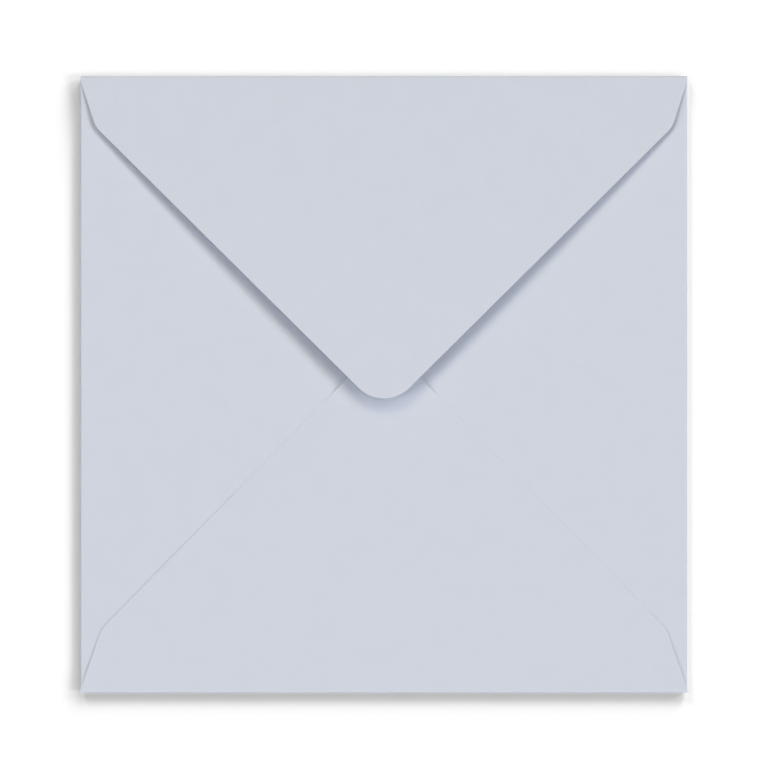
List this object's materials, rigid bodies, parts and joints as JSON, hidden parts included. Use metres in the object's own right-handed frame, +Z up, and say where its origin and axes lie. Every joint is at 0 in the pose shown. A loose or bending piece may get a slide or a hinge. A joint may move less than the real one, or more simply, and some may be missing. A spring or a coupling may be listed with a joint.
{
  "type": "paper envelope",
  "caption": "Square envelope folded from a sheet of paper: side flaps and a glued bottom flap form a pocket, and a deep pointed top flap, left unsealed, closes it.",
  "frame": {"origin": "centre of the envelope's footprint, on the outer face of the front panel that it lies on", "axes": "+Z up out of the flap side, +Y towards the fold of the top flap, +X to the right when the flap side is seen with that fold at the top"},
  "size_m": [0.155, 0.1574, 0.0061],
  "materials": {
    "paper": "matte uncoated pale blue-grey paper"
  },
  "bodies": {
    "root": {"envelope": "paper"}
  },
  "joints": []
}
